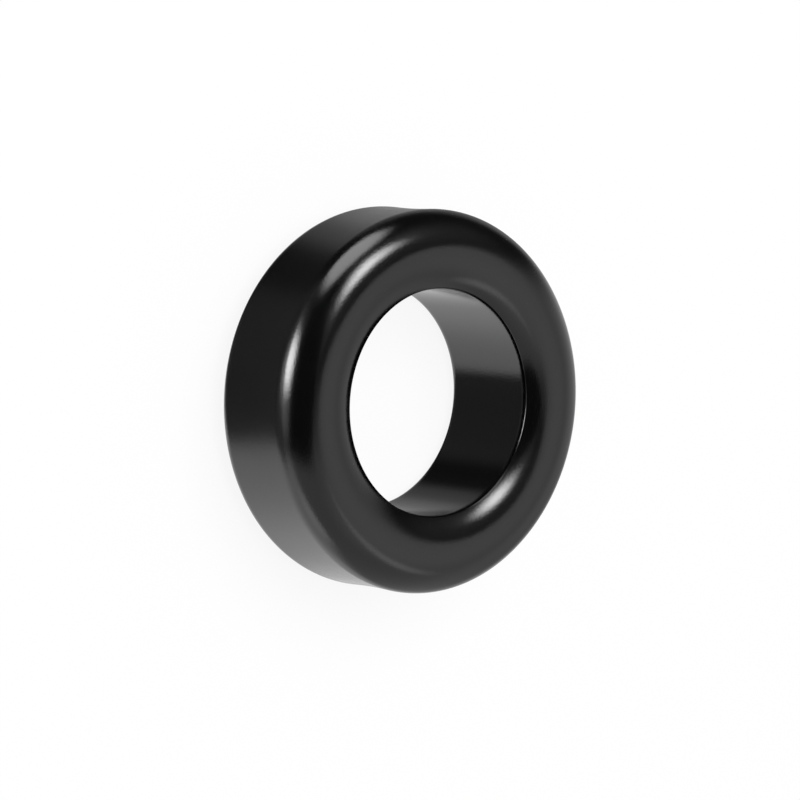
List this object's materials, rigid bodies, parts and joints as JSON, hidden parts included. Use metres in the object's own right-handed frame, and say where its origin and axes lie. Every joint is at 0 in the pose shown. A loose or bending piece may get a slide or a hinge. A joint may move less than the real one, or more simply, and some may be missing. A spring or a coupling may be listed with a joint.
{
  "type": "toroid core",
  "caption": "Black coated toroidal inductor core: a thick ring with broadly rounded rims, a straight bore with dished mouths and two narrow flat faces.",
  "frame": {"origin": "on the ring's axis, at the plane of its lower flat face", "axes": "+Z along the ring's axis, out of the upper face; X and Y lie in the plane of the faces and are equivalent"},
  "size_m": [0.0404, 0.0404, 0.0144],
  "materials": {
    "black_coating": "smooth semi-gloss black epoxy coating"
  },
  "bodies": {
    "root": {"core": "black_coating"}
  },
  "joints": []
}
